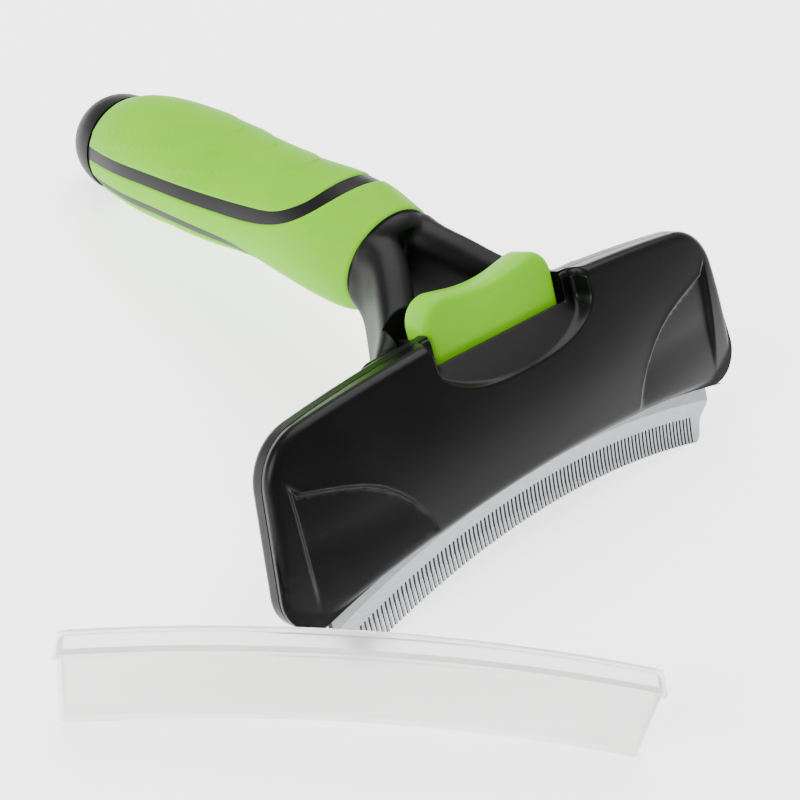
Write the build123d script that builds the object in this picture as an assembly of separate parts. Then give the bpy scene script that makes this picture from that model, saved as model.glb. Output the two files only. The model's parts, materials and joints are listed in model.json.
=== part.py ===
from build123d import *
import math
import os

# Deshedding tool: a curved comb blade in a two-shell head, a thumb-operated
# hair ejector, a forked neck, an overmoulded handle and a loose blade guard.
# Units are millimetres. +Z is up. The tool rests on the two end corners of its
# blade and on the butt of its handle, and the guard stands in front of it.

# --- head attitude --------------------------------------------------------
HEAD_TILT = 30.9          # lean of the head plane back from upright, degrees
TILT_SIN = math.sin(math.radians(HEAD_TILT))
TILT_COS = math.cos(math.radians(HEAD_TILT))

# --- blade ----------------------------------------------------------------
TIP_RADIUS = 191.0        # concave arc through the tooth tips
TIP_HALF = 51.0           # half width at the tooth tips
STRIP_HALF = 54.5         # half width of the plain steel strip
BLADE_BACK = -1.75        # rear face, measured from the shell seam
BLADE_FRONT = -0.15       # front face of the plain strip
BLADE_TOP = 25.0          # top edge, hidden in the head
TOOTH_PITCH = 1.1
SLOT_WIDTH = 0.5
SLOTS_PER_SIDE = 44       # 89 slots in all
SLOT_LENGTH = 6.3
GRIND_HEIGHT = 9.4        # hollow ground band above the tips
TIP_THICK = 0.45
TIP_ARC_Y = -math.sqrt(TIP_RADIUS ** 2 - TIP_HALF ** 2)

# --- head shells ----------------------------------------------------------
TOP_MID = 52.4            # height of the crown above the tooth tip corners
SHOULDER_X = 59.6
SHOULDER_Y = 47.7
SHOULDER_ROUND = 11.4
FOOT_X = 65.2
FOOT_Y = 9.7
FOOT_ROUND = 7.0
LIP_RADIUS = 252.0        # concave lower edge that the blade comes out of
LIP_MID = 18.2
REAR_THICK = 4.0          # rear shell at its rim
FRONT_MID = 6.0           # front cover at the middle of its face
BARREL_RADIUS = 600.0     # crown of the front face across its width
CROWN_RADIUS = 120.0      # crown of the front face over its height
CROWN_Y = 35.0
EDGE_ROUND = 1.6
WING_FLOOR = (45.0, 37.0, 3.5)
DISH_LINE = 47.0            # where the button meets the ramp of the scoop
DISH_HALF = 21.0
DISH_DROP = 8.2
REST_DROP = 0.339          # the tip corners are rounded, so the head sits lower

# --- ejector --------------------------------------------------------------
PLATE_BACK = 0.1
PLATE_FRONT = 0.9
ROOM_HALF = 54.6          # space behind the cover lip for the plate
ROOM_FRONT = 1.1
PLATE_TOP = 29.0
PLATE_HALF = 54.0
TAB_HALF = 13.0
TAB_TOP = 39.0
LIP_HIDE = 0.6            # the plate's edge stands this far inside the lip
CARRIAGE_HALF = 15.0
CARRIAGE_LOW = 33.0
CARRIAGE_TOP = 44.0
CARRIAGE_BACK = -8.0
BUTTON_HALF = 17.3
BUTTON_BACK = -7.7
BUTTON_FRONT = -0.5
BUTTON_HORN = 58.9        # corners of the saddle before rounding
BUTTON_DIP = 55.7
POCKET_HALF = 17.8
POCKET_BACK = -8.8
POCKET_LOW = 25.3
HOUSING_HALF = 19.2
HOUSING_BACK = -11.3
HOUSING_LOW = 16.0

# --- fixings: positions across and up the head ------------------------------
COVER_SCREWS = [(-50.0, 42.0), (50.0, 42.0), (-57.8, 17.5), (57.8, 17.5)]
BLADE_SCREWS = [(-48.0, 20.5), (-26.0, 21.5), (26.0, 21.5), (48.0, 20.5)]
YOKE_SCREWS = [(-24.4, 30.0), (-24.4, 43.0), (24.4, 30.0), (24.4, 43.0)]
RIVETS = [(-9.0, 36.0), (0.0, 36.0), (9.0, 36.0)]
YOKE_SEAT = -7.0          # rear face of the pads that the neck arms stand on
YOKE_X = 24.4
INSERT_RADIUS = 2.1

# --- springs --------------------------------------------------------------
SPRING_X = 10.0
SPRING_W = -5.2
SPRING_LOW = 19.5
SPRING_COIL = 2.1         # mean coil radius
SPRING_WIRE = 0.25        # wire radius
SPRING_TURNS = 8
SPRING_CLOSED = 0.56        # rise of the closed turn at each end
SPRING_STEPS = 12           # points along each turn of the wire
PIN_RADIUS = 1.4
PIN_LENGTH = 18.5

# --- handle ---------------------------------------------------------------
COLLAR_Y = 55.4           # where the green sleeve ends at the neck
CAP_Y = 148.3             # where the butt cap begins
CAP_SLOPE = 9.0            # backward lean of the joint at the butt cap, degrees
CAP_AXIS = (0, math.cos(math.radians(CAP_SLOPE)), -math.sin(math.radians(CAP_SLOPE)))
PAD_SHORT = 0.6           # black ring left between the soft pads and the cap
SKIN = 2.0                # thickness of the soft overmould
BORE_RADIUS = 5.0
RIB_DROP = 0.3            # black ribs lie this far below the soft skin
# stations along the handle: distance back, axis height, radius
STATIONS = [
    (55.4, 37.5, 11.6),
    (58.7, 36.6, 12.7),
    (66.6, 35.2, 13.8),
    (80.6, 32.0, 13.3),
    (94.5, 28.9, 13.1),
    (108.5, 25.1, 14.1),
    (121.4, 21.8, 14.5),
    (134.3, 17.95, 14.3),
    (148.3, 13.4, 12.2),
]
# butt cap stations, ending in a small flat
CAP_STATIONS = [
    (148.3, 13.4, 12.2),
    (152.2, 12.4, 11.9),
    (156.2, 11.6, 10.4),
    (159.4, 11.1, 7.6),
    (161.6, 11.0, 3.8),
]

# --- blade guard ----------------------------------------------------------
GUARD_RADIUS = 235.0      # concave lower edge
GUARD_HEIGHT = 19.0
GUARD_HALF = 51.0
GUARD_THICK = 4.6
GUARD_WALL = 0.9
GUARD_YAW = -41.5
GUARD_X = -60.9
GUARD_Y = -9.4


# ---------------------------------------------------------------- helpers
def arc_height(x, radius, middle):
    """Height at x of an arc that curves down to either side of its middle."""
    return middle - radius + math.sqrt(radius ** 2 - x ** 2)


def tip_height(x):
    return TIP_ARC_Y + math.sqrt(TIP_RADIUS ** 2 - x ** 2)


def lip_height(x):
    return arc_height(x, LIP_RADIUS, LIP_MID)


def mirrored(solid):
    return mirror(solid, about=Plane.YZ)


def prism(face, low, high):
    """Extrude a face drawn on the seam plane between two depths."""
    return extrude(Plane.XY.offset(low) * face, high - low)


def block(x0, x1, y0, y1, z0, z1):
    box = Box(x1 - x0, y1 - y0, z1 - z0)
    return Pos((x0 + x1) / 2, (y0 + y1) / 2, (z0 + z1) / 2) * box


def rod(x, y, z, radius, length, axis="Z"):
    """Cylinder that starts at a point and runs along +Z or +Y."""
    turn = Rot(0, 0, 0) if axis == "Z" else Rot(-90, 0, 0)
    return Pos(x, y, z) * turn * Pos(0, 0, length / 2) * Cylinder(radius, length)


def on_head(solid):
    """Carry a part from the head's own plane to the resting attitude."""
    lift = -BLADE_BACK * TILT_SIN - REST_DROP
    plane = Plane(origin=(0, 0, lift), x_dir=(1, 0, 0), z_dir=(0, -TILT_COS, TILT_SIN))
    return plane.location * solid


# ------------------------------------------------------------------- head
def head_outline():
    """Crowned top, flared sides and a concave lower edge."""
    shoulder = (SHOULDER_X, SHOULDER_Y)
    foot = (FOOT_X, FOOT_Y)
    with BuildSketch() as sketch:
        with BuildLine():
            ThreePointArc((-SHOULDER_X, SHOULDER_Y), (0, TOP_MID), shoulder)
            Line(shoulder, foot)
            ThreePointArc(foot, (0, LIP_MID), (-FOOT_X, FOOT_Y))
            Line((-FOOT_X, FOOT_Y), (-SHOULDER_X, SHOULDER_Y))
        make_face()
        corners = sketch.vertices()
        fillet([v for v in corners if v.Y > 30], SHOULDER_ROUND)
        corners = [v for v in sketch.vertices() if v.Y < FOOT_Y + 0.1]
        fillet(corners, FOOT_ROUND)
    return sketch.sketch.face()


def crown_body():
    """Barrel whose surface is the crowned front face of the cover."""
    reach = 60.0
    drop = CROWN_RADIUS - math.sqrt(CROWN_RADIUS ** 2 - reach ** 2)
    axis_z = FRONT_MID - BARREL_RADIUS
    with BuildSketch(Plane.YZ) as sketch:
        with BuildLine():
            ThreePointArc(
                (CROWN_Y - reach, FRONT_MID - drop),
                (CROWN_Y, FRONT_MID),
                (CROWN_Y + reach, FRONT_MID - drop),
            )
            Polyline(
                (CROWN_Y + reach, FRONT_MID - drop),
                (CROWN_Y + reach, -60),
                (CROWN_Y - reach, -60),
                (CROWN_Y - reach, FRONT_MID - drop),
            )
        make_face()
    axis = Axis((0, 0, axis_z), (0, 1, 0))
    half = revolve(sketch.sketch.face(), axis=axis, revolution_arc=8)
    other = mirrored(half)
    body = half + other
    return body


def thumb_dish():
    """Half-oval scoop under the button: a ramp that rises to the face."""
    with BuildSketch(Plane.XY) as sketch:
        with Locations((0, DISH_LINE)):
            Ellipse(DISH_HALF, DISH_DROP)
        with Locations((0, DISH_LINE + 10)):
            Rectangle(2 * DISH_HALF, 20)
    slope = FRONT_MID / DISH_DROP
    ramp = Plane(origin=(0, DISH_LINE, 0), x_dir=(1, 0, 0), z_dir=(0, slope, 1))
    above = ramp.location * Pos(0, 0, 15) * Box(100, 100, 30)
    notch = block(-POCKET_HALF, POCKET_HALF, DISH_LINE - 1, 70, -0.5, 20)
    return (prism(sketch.sketch.face(), 0.6, 20) & above) + notch


def wing_recess():
    """Shallow sculpted recess beside the middle, fading out downwards."""
    with BuildSketch() as sketch:
        with BuildLine():
            Spline((55.8, 37.5), (50.5, 36.6), (42.5, 34.0), (36.0, 30.0), (27.0, 21.0))
            Polyline((27.0, 21.0), (29.0, 8.0), (56.4, 8.0), (55.8, 37.5))
        make_face()
    floor = Plane(origin=WING_FLOOR, x_dir=(1, 0, -0.075), z_dir=(0.075, -0.005, 1))
    above = floor.location * Pos(0, 0, 15) * Box(200, 200, 30)
    return prism(sketch.sketch.face(), 0, 20) & above


def cover_hollow():
    """Room behind the cover for the ejector plate and its fixings."""
    mouth = block(-ROOM_HALF, ROOM_HALF, -5, PLATE_TOP + 1.5, -1, ROOM_FRONT)
    middle = block(-17, 17, 25, 40.8, -1, ROOM_FRONT)
    tab_room = block(-16, 16, 21.5, 39.6, -1, 2.8)
    return mouth + middle + tab_room


def make_front_cover():
    shell = prism(head_outline(), 0, 20) & crown_body()
    rim = [e for e in shell.edges() if e.center().Z > 0.8]
    shell = fillet(rim, EDGE_ROUND)
    shell -= thumb_dish()
    shell -= cover_hollow()
    shell -= wing_recess()
    shell -= mirrored(wing_recess())
    for x, y in COVER_SCREWS:
        shell -= rod(x, y, -1, 0.9, 2.2)
    return shell


def make_rear_shell():
    shell = prism(head_outline(), -REAR_THICK, 0)
    back = [e for e in shell.edges() if abs(e.center().Z + REAR_THICK) < 0.01]
    shell = fillet(back, 2.0)
    width = 2 * HOUSING_HALF
    height = TOP_MID - 0.6 - HOUSING_LOW
    housing = Box(width, height, -HOUSING_BACK)
    housing = fillet(housing.edges().filter_by(Axis.Z), 4.0)
    housing = fillet(housing.faces().sort_by(Axis.Z)[0].edges(), 3.0)
    shell += Pos(0, HOUSING_LOW + height / 2, HOUSING_BACK / 2) * housing
    for side in (-1, 1):
        foot = Box(14.4, 28, 6)
        foot = fillet(foot.edges().filter_by(Axis.Z), 4.0)
        foot = fillet(foot.faces().sort_by(Axis.Z)[0].edges(), 1.5)
        shell += Pos(side * YOKE_X, 36.5, YOKE_SEAT + 3) * foot
    shell -= block(-STRIP_HALF - 0.1, STRIP_HALF + 0.1, -5, BLADE_TOP + 0.1, BLADE_BACK, 1)
    shell -= block(-POCKET_HALF, POCKET_HALF, POCKET_LOW, 70, POCKET_BACK, 1)
    for side in (-1, 1):
        shell -= rod(side * SPRING_X, SPRING_LOW, SPRING_W, 2.9, 8, "Y")
        shell -= rod(side * SPRING_X, SPRING_LOW - 2.5, SPRING_W, PIN_RADIUS, 3, "Y")
    for x, y in BLADE_SCREWS:
        shell -= rod(x, y, -3.6, 0.8, 4)
    for x, y in COVER_SCREWS:
        shell -= rod(x, y, -5, 1.3, 6)
        shell -= rod(x, y, -5, 2.4, 5 - REAR_THICK + 1.4)
    for x, y in YOKE_SCREWS:
        shell -= rod(x, y, -8, 1.6, 9)
        shell -= rod(x, y, -2.2, 2.8, 3)
    return shell


def blade_outline():
    """Strip with a concave toothed edge, drawn as one closed outline."""
    edges = []
    tips = TIP_HALF - 1.6
    start = (tips, tip_height(tips))
    end_side = [
        Line((-STRIP_HALF, BLADE_TOP), (STRIP_HALF, BLADE_TOP)),
        Line((STRIP_HALF, BLADE_TOP), (STRIP_HALF, 9.5)),
        Spline((STRIP_HALF, 9.5), (52.2, 6.0), (51.3, 2.6), tangents=[(0, -1), (-0.1, -1)]),
        Spline((51.3, 2.6), start, tangents=[(-0.1, -1), (-1, 0.25)]),
    ]
    edges.extend(end_side)
    for line in end_side[1:]:
        edges.append(mirror(line, about=Plane.YZ))
    corner = start
    half = SLOT_WIDTH / 2
    for index in range(SLOTS_PER_SIDE, -SLOTS_PER_SIDE - 1, -1):
        x = index * TOOTH_PITCH
        right = (x + half, tip_height(x + half))
        left = (x - half, tip_height(x - half))
        root = tip_height(x) + SLOT_LENGTH - half
        edges.append(Line(corner, right))
        edges.append(Line(right, (x + half, root)))
        edges.append(ThreePointArc((x + half, root), (x, root + half), (x - half, root)))
        edges.append(Line((x - half, root), left))
        corner = left
    edges.append(Line(corner, (-start[0], start[1])))
    return make_face(Curve() + edges)


def make_comb_blade():
    blade = prism(blade_outline(), BLADE_BACK, BLADE_FRONT)
    low = TIP_RADIUS - 3
    kink = TIP_RADIUS + GRIND_HEIGHT
    tip_front = BLADE_BACK + TIP_THICK
    with BuildSketch(Plane.YZ) as sketch:
        with BuildLine():
            ThreePointArc(
                (kink, BLADE_FRONT),
                (TIP_RADIUS + 4.2, tip_front + 0.25),
                (TIP_RADIUS - 0.6, tip_front),
            )
            Polyline(
                (TIP_RADIUS - 0.6, tip_front),
                (low, tip_front),
                (low, 1),
                (kink, 1),
                (kink, BLADE_FRONT),
            )
        make_face()
    half = revolve(sketch.sketch.face(), axis=Axis.Z, revolution_arc=18)
    grind = Pos(0, TIP_ARC_Y, 0) * (half + mirrored(half))
    blade -= grind
    for x, y in BLADE_SCREWS:
        blade -= rod(x, y, -2, 1.1, 3)
        blade -= Pos(x, y, BLADE_FRONT - 0.55) * Cone(1.1, 2.0, 1.1)
    return blade


def make_blade_screws():
    """Countersunk screws, flush so that the ejector plate slides over them."""
    screws = []
    for x, y in BLADE_SCREWS:
        head = Pos(x, y, BLADE_FRONT - 0.6) * Cone(1.0, 1.85, 1.0)
        slot = block(x - 1.1, x + 1.1, y - 0.25, y + 0.25, BLADE_FRONT - 0.5, 1)
        slot += block(x - 0.25, x + 0.25, y - 1.1, y + 1.1, BLADE_FRONT - 0.5, 1)
        shank = rod(x, y, -3.5, 0.8, 2.5)
        screws.append(head + shank - slot)
    return Compound(screws)


def make_cover_screws():
    """Pan head screws driven from behind, one in each corner of the head."""
    screws = []
    for x, y in COVER_SCREWS:
        head = rod(x, y, -REAR_THICK + 0.05, 2.2, 1.3)
        slot = block(x - 1.4, x + 1.4, y - 0.3, y + 0.3, -5, -REAR_THICK + 0.75)
        slot += block(x - 0.3, x + 0.3, y - 1.4, y + 1.4, -5, -REAR_THICK + 0.75)
        shank = rod(x, y, -REAR_THICK + 1.2, 0.9, 3.8)
        screws.append(head + shank - slot)
    return Compound(screws)


def make_yoke_screws():
    """Screws from inside the rear shell into the feet of the neck arms."""
    screws = []
    for x, y in YOKE_SCREWS:
        head = rod(x, y, -2.2, 2.5, 1.7)
        slot = block(x - 1.6, x + 1.6, y - 0.35, y + 0.35, -1.3, 1)
        slot += block(x - 0.35, x + 0.35, y - 1.6, y + 1.6, -1.3, 1)
        shank = rod(x, y, YOKE_SEAT - 3.9, 1.3, 3.9 - YOKE_SEAT - 1.9)
        screws.append(head + shank - slot)
    return Compound(screws)


def make_yoke_inserts():
    """Brass sleeves in the feet of the neck arms that take the screws."""
    inserts = []
    for x, y in YOKE_SCREWS:
        sleeve = rod(x, y, YOKE_SEAT - 3.6, INSERT_RADIUS, 3.0)
        inserts.append(sleeve - rod(x, y, YOKE_SEAT - 5, 1.32, 6))
    return Compound(inserts)


# ---------------------------------------------------------------- ejector
def make_ejector_plate():
    """Thin steel wiper that follows the lip, with a tab up to the carriage."""
    edge_x = PLATE_HALF
    with BuildSketch() as sketch:
        with BuildLine():
            ThreePointArc(
                (-edge_x, lip_height(edge_x) + LIP_HIDE),
                (0, LIP_MID + LIP_HIDE),
                (edge_x, lip_height(edge_x) + LIP_HIDE),
            )
            Polyline(
                (edge_x, lip_height(edge_x) + LIP_HIDE),
                (edge_x, PLATE_TOP - 6),
                (edge_x - 6, PLATE_TOP),
                (TAB_HALF + 4, PLATE_TOP),
                (TAB_HALF, PLATE_TOP + 4),
                (TAB_HALF, TAB_TOP),
                (-TAB_HALF, TAB_TOP),
                (-TAB_HALF, PLATE_TOP + 4),
                (-TAB_HALF - 4, PLATE_TOP),
                (6 - edge_x, PLATE_TOP),
                (-edge_x, PLATE_TOP - 6),
                (-edge_x, lip_height(edge_x) + LIP_HIDE),
            )
        make_face()
    plate = prism(sketch.sketch.face(), PLATE_BACK, PLATE_FRONT)
    for x, y in RIVETS:
        plate -= rod(x, y, -1, 1.25, 3)
    return plate


def make_ejector_rivets():
    rivets = []
    for x, y in RIVETS:
        head = Pos(x, y, PLATE_FRONT) * Sphere(2.2, arc_size1=0)
        head &= block(x - 3, x + 3, y - 3, y + 3, PLATE_FRONT, PLATE_FRONT + 1.4)
        head = fillet(head.faces().sort_by(Axis.Z)[-1].edges(), 0.3)
        rivets.append(head + rod(x, y, -3, 1.2, PLATE_FRONT + 3))
    return Compound(rivets)


def make_ejector_carriage():
    """Slider under the button: carries the plate and bears on the springs."""
    body = block(-CARRIAGE_HALF, CARRIAGE_HALF, CARRIAGE_LOW, CARRIAGE_TOP, CARRIAGE_BACK, -0.2)
    body = fillet(body.edges().filter_by(Axis.Z), 1.5)
    front = block(-TAB_HALF, TAB_HALF, CARRIAGE_LOW, TAB_TOP, -0.5, PLATE_BACK - 0.02)
    body += front
    for side in (-1, 1):
        body -= rod(side * SPRING_X, CARRIAGE_LOW - 1, SPRING_W, PIN_RADIUS + 0.3, 11.4, "Y")
    body -= block(-4.2, 4.2, CARRIAGE_TOP - 4, CARRIAGE_TOP + 1, -6.5, -2.5)
    for x, y in RIVETS:
        body -= rod(x, y, -3, 1.22, 4)
    return body


def make_push_button():
    """Saddle-topped thumb button with rounded high ends."""
    low = CARRIAGE_TOP
    half = BUTTON_HALF
    with BuildSketch() as sketch:
        with BuildLine():
            Polyline(
                (-half, low), (half, low), (half, BUTTON_HORN),
                (0, BUTTON_DIP), (-half, BUTTON_HORN), close=True,
            )
        make_face()
        fillet([v for v in sketch.vertices() if v.Y > BUTTON_HORN - 1], 5.0)
        fillet([v for v in sketch.vertices() if abs(v.X) < 0.1], 34)
    button = prism(sketch.sketch.face(), BUTTON_BACK, BUTTON_FRONT)
    middle = (BUTTON_BACK + BUTTON_FRONT) / 2
    faces = [e for e in button.edges() if abs(e.center().Z - middle) > 3]
    button = fillet([e for e in faces if e.center().Y > low + 0.5], 2.2)
    stem = block(-4, 4, low - 3.6, low + 0.5, -6.3, -2.7)
    return button + stem


def coil_points():
    """Points up the spring wire, with one closed turn at each end."""
    rise = CARRIAGE_LOW - SPRING_LOW - 2 * SPRING_WIRE
    pitch = (rise - 2 * SPRING_CLOSED) / (SPRING_TURNS - 2)
    points = []
    for step in range(SPRING_TURNS * SPRING_STEPS + 1):
        turn = step / SPRING_STEPS
        height = min(turn, 1) * SPRING_CLOSED + max(turn - SPRING_TURNS + 1, 0) * SPRING_CLOSED
        height += min(max(turn - 1, 0), SPRING_TURNS - 2) * pitch
        angle = 2 * math.pi * turn
        points.append((SPRING_COIL * math.cos(angle), SPRING_COIL * math.sin(angle), height))
    return points


def spring_at(side):
    path = Spline(*coil_points())
    plane = Plane(origin=path @ 0, z_dir=path % 0)
    coil = sweep(plane * Circle(SPRING_WIRE), path, is_frenet=True)
    return Pos(side * SPRING_X, SPRING_LOW + SPRING_WIRE, SPRING_W) * Rot(-90, 0, 0) * coil


def make_spring_pins():
    pins = []
    for side in (-1, 1):
        x = side * SPRING_X
        pins.append(rod(x, SPRING_LOW - 2.5, SPRING_W, PIN_RADIUS, PIN_LENGTH, "Y"))
    return Compound(pins)


# ----------------------------------------------------------------- handle
def station_planes(stations):
    planes = []
    last = len(stations) - 1
    for index, (y, z, _) in enumerate(stations):
        before = stations[max(index - 1, 0)]
        after = stations[min(index + 1, last)]
        direction = Vector(0, after[0] - before[0], after[1] - before[1])
        if y == COLLAR_Y:
            direction = Vector(0, 1, 0)
        if y == CAP_Y:
            direction = CAP_AXIS
        planes.append(Plane(origin=(0, y, z), x_dir=(1, 0, 0), z_dir=direction))
    return planes


def handle_body(stations, inset=0.0):
    planes = station_planes(stations)
    sections = []
    for plane, (_, _, radius) in zip(planes, stations):
        sections.append(plane * Circle(radius - inset))
    return loft([s.face() for s in sections])


def axis_height(y):
    """Axis height between stations, by straight interpolation."""
    for (y0, z0, _), (y1, z1, _) in zip(STATIONS, STATIONS[1:]):
        if y <= y1:
            break
    return z0 + (z1 - z0) * (y - y0) / (y1 - y0)


# edges of the soft zones: distance back, height above the handle axis
TOP_PAD_EDGE = [
    (69.6, 16.0), (71.4, 12.2), (73.6, 9.9), (78.0, 7.3), (86.0, 5.2),
    (98.0, 3.9), (113.0, 3.6), (131.0, 3.3), (154.0, 3.3),
]
SIDE_UPPER_EDGE = [
    (65.5, 16.0), (68.0, 12.2), (71.6, 8.5), (75.8, 5.8), (80.0, 4.0), (87.0, 2.1),
    (97.0, 0.9), (113.0, 0.7), (131.0, 0.4), (154.0, 0.3),
]
SIDE_LOWER_EDGE = [
    (75.0, -16.0), (80.5, -11.2), (87.5, -8.3), (98.0, -6.7), (109.0, -5.8),
    (127.0, -5.6), (154.0, -4.9),
]
BOTTOM_PAD_EDGE = [
    (80.5, -17.0), (86.0, -12.6), (92.0, -10.2), (99.0, -9.0), (110.0, -8.1),
    (128.0, -8.0), (154.0, -7.4),
]


def edge_points(edge):
    return [(y, axis_height(y) + rise) for y, rise in edge]


def spline_region(edge, closing):
    """Side-view region bounded by a smooth soft-zone edge."""
    points = edge_points(edge)
    with BuildSketch(Plane.YZ) as sketch:
        with BuildLine():
            Spline(*points)
            Polyline(points[-1], *closing, points[0])
        make_face()
    return extrude(sketch.sketch.face(), 30, both=True)


def butt_plane():
    """Plane where the cap meets the handle, facing back along the axis."""
    return Plane(origin=(0, CAP_Y, STATIONS[-1][1]), x_dir=(1, 0, 0), z_dir=CAP_AXIS)


def soft_skin():
    skin = handle_body(STATIONS) - handle_body(STATIONS, SKIN)
    skin &= block(-30, 30, COLLAR_Y, CAP_Y + 20, -20, 80)
    return skin - butt_plane().location * Pos(0, 0, 15 - PAD_SHORT) * Box(60, 60, 30)


def make_grip_top_pad(skin):
    return skin & spline_region(TOP_PAD_EDGE, [(154.0, 80.0), (69.6, 80.0)])


def make_grip_bottom_pad(skin):
    return skin & spline_region(BOTTOM_PAD_EDGE, [(154.0, -30.0), (80.5, -30.0)])


def make_grip_side_collar(skin):
    above = spline_region(SIDE_UPPER_EDGE, [(154.0, 80.0), (65.5, 80.0)])
    below = spline_region(SIDE_LOWER_EDGE, [(154.0, -30.0), (75.0, -30.0)])
    return skin - above - below


def arm_section(x, y, z, width, height, corner):
    """Rounded section of a neck arm, standing across the arm's run."""
    plane = Plane(origin=(x, y, z), x_dir=(1, 0, 0), z_dir=(0, 1, 0))
    with BuildSketch(plane) as sketch:
        RectangleRounded(width, height, corner)
    return sketch.sketch.face()


def neck_arm(side):
    """One prong of the fork, from the neck to its foot behind the head."""
    centre = on_head(Pos(side * YOKE_X, 36.5, YOKE_SEAT) * Rectangle(9, 22)).center()
    foot = Plane(origin=centre, x_dir=(1, 0, 0), z_dir=(0, TILT_COS, -TILT_SIN))
    with BuildSketch(foot) as last:
        RectangleRounded(9.8, 23.0, 3.4)
    return loft([
        arm_section(side * 5.3, 54.4, 37.7, 10.2, 17.4, 5.0),
        arm_section(side * 7.9, 48.0, 35.0, 8.6, 19.4, 4.2),
        arm_section(side * 13.8, 39.6, 30.9, 8.4, 21.4, 3.8),
        last.sketch.face(),
    ])


def neck_ring(y, z, width, height):
    plane = Plane(origin=(0, y, z), x_dir=(1, 0, 0), z_dir=(0, -1, 0))
    return plane * Ellipse(width, height).face()


def housing_clearance():
    """Corner of each arm cut back where it passes the rear housing."""
    half = HOUSING_HALF + 0.1
    return block(-half, half, HOUSING_LOW - 2, TOP_MID + 2, HOUSING_BACK - 0.1, 2)


def make_handle_core(soft_parts):
    """Fork, neck and hard core of the handle, cut away under the soft zones."""
    root = STATIONS[0][2] - RIB_DROP
    neck = loft([
        neck_ring(COLLAR_Y, STATIONS[0][1], root, root),
        neck_ring(54.0, 37.3, 11.0, 10.9),
        neck_ring(52.4, 37.1, 9.6, 9.8),
    ])
    fork = neck + neck_arm(1)
    fork += neck_arm(-1)
    core = handle_body(STATIONS, RIB_DROP) + fork
    for part in soft_parts:
        core -= part
    core -= on_head(housing_clearance())
    for x, y in YOKE_SCREWS:
        core -= on_head(rod(x, y, YOKE_SEAT - 4.2, 1.32, 8))
        core -= on_head(rod(x, y, YOKE_SEAT - 3.7, INSERT_RADIUS + 0.02, 8))
    core -= butt_plane().location * Pos(0, 0, -6) * Cylinder(BORE_RADIUS, 14)
    return core


def make_butt_cap():
    """Rounded end cap with a spigot that plugs the hollow handle."""
    cap = handle_body(CAP_STATIONS)
    cap = fillet(cap.edges().sort_by(Axis.Y)[-1], 2.2)
    return cap + butt_plane().location * Pos(0, 0, -3.5) * Cylinder(BORE_RADIUS - 0.02, 9)


# ------------------------------------------------------------------ guard
def guard_sector(inner, outer, half_angle, y0, y1):
    """Slice of a ring standing upright, between two radii."""
    centre_z = -GUARD_RADIUS * math.cos(math.asin(GUARD_HALF / GUARD_RADIUS))
    with BuildSketch(Plane.XZ) as sketch:
        with BuildLine():
            a = half_angle
            CenterArc((0, centre_z), outer, 90 - a, 2 * a)
            CenterArc((0, centre_z), inner, 90 - a, 2 * a)
            for sign in (-1, 1):
                s = math.sin(math.radians(sign * a))
                c = math.cos(math.radians(a))
                Line((inner * s, centre_z + inner * c), (outer * s, centre_z + outer * c))
        make_face()
    return Pos(0, y1, 0) * extrude(sketch.sketch.face(), y1 - y0)


def make_blade_guard():
    half = GUARD_THICK / 2
    angle = math.degrees(math.asin(GUARD_HALF / GUARD_RADIUS)) + 1
    top = GUARD_RADIUS + GUARD_HEIGHT
    inner = GUARD_HALF - GUARD_WALL
    body = guard_sector(GUARD_RADIUS, top, angle, -half, half)
    body &= block(-GUARD_HALF, GUARD_HALF, -9, 9, -20, 60)
    body = fillet(body.edges().filter_by(Axis.Z), 1.2)
    lip = guard_sector(top - 1.1, top, angle, -half - 0.35, half + 0.35)
    lip &= block(-GUARD_HALF - 0.35, GUARD_HALF + 0.35, -9, 9, -20, 60)
    room = guard_sector(
        GUARD_RADIUS + GUARD_WALL, top + 1, angle, -half + GUARD_WALL, half - GUARD_WALL,
    )
    room &= block(-inner, inner, -9, 9, -20, 60)
    return Pos(GUARD_X, GUARD_Y, 0) * Rot(0, 0, GUARD_YAW) * (body + lip - room)


# --------------------------------------------------------------- assembly
def build_parts():
    skin = soft_skin()
    top_pad = make_grip_top_pad(skin)
    bottom_pad = make_grip_bottom_pad(skin)
    side_collar = make_grip_side_collar(skin)
    parts = {
        "handle_core": make_handle_core([top_pad, bottom_pad, side_collar]),
        "grip_top_pad": top_pad,
        "grip_side_collar": side_collar,
        "grip_bottom_pad": bottom_pad,
        "butt_cap": make_butt_cap(),
        "rear_shell": on_head(make_rear_shell()),
        "front_cover": on_head(make_front_cover()),
        "comb_blade": on_head(make_comb_blade()),
        "blade_screws": on_head(make_blade_screws()),
        "cover_screws": on_head(make_cover_screws()),
        "yoke_screws": on_head(make_yoke_screws()),
        "yoke_inserts": on_head(make_yoke_inserts()),
        "push_button": on_head(make_push_button()),
        "ejector_carriage": on_head(make_ejector_carriage()),
        "ejector_plate": on_head(make_ejector_plate()),
        "ejector_rivets": on_head(make_ejector_rivets()),
        "spring_left": on_head(spring_at(-1)),
        "spring_right": on_head(spring_at(1)),
        "spring_pins": on_head(make_spring_pins()),
        "blade_guard": make_blade_guard(),
    }
    return parts


def main():
    os.makedirs("parts", exist_ok=True)
    parts = build_parts()
    whole = Compound(list(parts.values())).bounding_box()
    shift = Pos(-whole.center().X, -whole.center().Y, 0)
    for name, solid in parts.items():
        placed = shift * solid
        export_step(placed, "parts/" + name + ".step")
        box = placed.bounding_box()
        print(name, box.min, box.max, round(placed.volume, 1))


main()
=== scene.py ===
import math

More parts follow.
